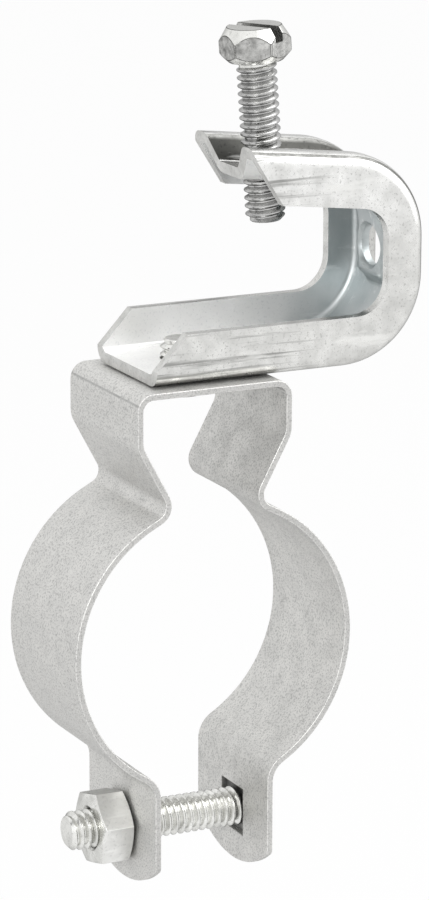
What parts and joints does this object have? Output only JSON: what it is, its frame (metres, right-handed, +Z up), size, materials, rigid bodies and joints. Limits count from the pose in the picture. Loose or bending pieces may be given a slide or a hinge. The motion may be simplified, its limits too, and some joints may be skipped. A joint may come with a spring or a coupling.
{
  "type": "conduit to beam clamp",
  "caption": "Formed C beam clamp with a set screw, carrying a bent strap hanger whose ring closes on a conduit with a bolt and nut and swivels on a screw under the lower arm.",
  "frame": {"origin": "on the swivel axis, level with the lower flange edges that the beam flange rests on", "axes": "+X from the open jaw towards the spine, +Y along the conduit, +Z up the swivel axis, towards the set screw's head"},
  "size_m": [0.0615, 0.0254, 0.1359],
  "materials": {
    "clamp_zinc": "bright zinc plated sheet steel, satin with fine scratches",
    "strap_zinc": "matte galvanised strap with fine dark speckles",
    "screw_zinc": "zinc plated screws and nut, satin with bright edges"
  },
  "bodies": {
    "clamp": {"beam_clamp": "clamp_zinc", "saddle_screw": "screw_zinc"},
    "set_screw": {"set_screw": "screw_zinc"},
    "hanger": {"conduit_hanger": "strap_zinc", "hanger_bolt": "screw_zinc"},
    "nut": {"hex_nut": "screw_zinc"}
  },
  "joints": [
    {"name": "set_screw_feed", "type": "slide", "parent": "clamp", "child": "set_screw", "axis": [-0.0732, 0, 0.9973], "range_m": [-0.0115, 0.0055]},
    {"name": "hanger_swivel", "type": "hinge", "parent": "clamp", "child": "hanger", "pos_m": [0, 0, -0.0084], "axis": [0, 0, 1], "continuous": true},
    {"name": "nut_travel", "type": "slide", "parent": "hanger", "child": "nut", "axis": [-1, 0, 0], "range_m": [0, 0.0035]}
  ]
}
